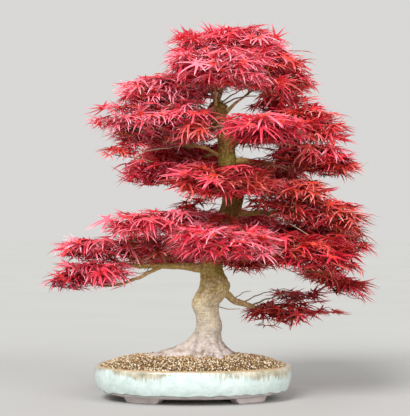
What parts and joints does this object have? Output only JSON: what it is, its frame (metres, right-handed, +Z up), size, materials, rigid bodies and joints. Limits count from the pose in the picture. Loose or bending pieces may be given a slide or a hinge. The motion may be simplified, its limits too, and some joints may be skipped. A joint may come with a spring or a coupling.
{
  "type": "maple bonsai",
  "caption": "Small trained maple with a curved tapering trunk, tiers of narrow-lobed red foliage and an oval glazed pot filled with grit.",
  "frame": {"origin": "under the middle of the whole plant's footprint, on the plane that the pot's feet stand on", "axes": "+Z up along the trunk, +X to the viewer's right in the picture, +Y away from the viewer"},
  "size_m": [0.5488, 0.4486, 0.6044],
  "materials": {
    "maple_leaves": "soft matte leaf with a faint sheen",
    "bark": "smooth grey-brown bark, rougher and greener higher up",
    "bough_bark": "olive bark with a film of algae",
    "glazed_stoneware": "pale celadon glaze over an unglazed brown base and feet",
    "grit": "matte tan, ochre and cream grains"
  },
  "bodies": {
    "root": {"bough_back_left": "bough_bark", "bough_back_right": "bough_bark", "bough_back_second": "bough_bark", "bough_back_upper": "bough_bark", "bough_crown_back": "bough_bark", "bough_crown_front": "bough_bark", "bough_crown_top": "bough_bark", "bough_front_middle": "bough_bark", "bough_front_upper": "bough_bark", "bough_left_middle": "bough_bark", "bough_left_second": "bough_bark", "bough_left_top": "bough_bark", "bough_left_upper": "bough_bark", "bough_low_back": "bough_bark", "bough_low_front": "bough_bark", "bough_low_left": "bough_bark", "bough_low_left_fork": "bough_bark", "bough_low_right": "bough_bark", "bough_right_behind": "bough_bark", "bough_right_middle": "bough_bark", "bough_right_second": "bough_bark", "bough_right_sweep": "bough_bark", "bough_right_thin": "bough_bark", "bough_right_top": "bough_bark", "bough_right_upper": "bough_bark", "grit": "grit", "leaves_back_left": "maple_leaves", "leaves_back_right": "maple_leaves", "leaves_back_second": "maple_leaves", "leaves_back_top": "maple_leaves", "leaves_back_upper": "maple_leaves", "leaves_crown_back": "maple_leaves", "leaves_crown_front": "maple_leaves", "leaves_crown_left": "maple_leaves", "leaves_crown_right": "maple_leaves", "leaves_front_middle": "maple_leaves", "leaves_front_upper": "maple_leaves", "leaves_left_middle": "maple_leaves", "leaves_left_second": "maple_leaves", "leaves_left_top": "maple_leaves", "leaves_left_upper": "maple_leaves", "leaves_left_upper_tip": "maple_leaves", "leaves_low_back": "maple_leaves", "leaves_low_front": "maple_leaves", "leaves_low_front_under": "maple_leaves", "leaves_low_left": "maple_leaves", "leaves_low_left_tip": "maple_leaves", "leaves_low_right": "maple_leaves", "leaves_low_right_back": "maple_leaves", "leaves_right_behind": "maple_leaves", "leaves_right_middle": "maple_leaves", "leaves_right_second": "maple_leaves", "leaves_right_sweep_front": "maple_leaves", "leaves_right_sweep_tip": "maple_leaves", "leaves_right_thin": "maple_leaves", "leaves_right_top": "maple_leaves", "leaves_right_upper_back": "maple_leaves", "leaves_right_upper_tip": "maple_leaves", "pot": "glazed_stoneware", "trunk": "bark"}
  },
  "joints": []
}
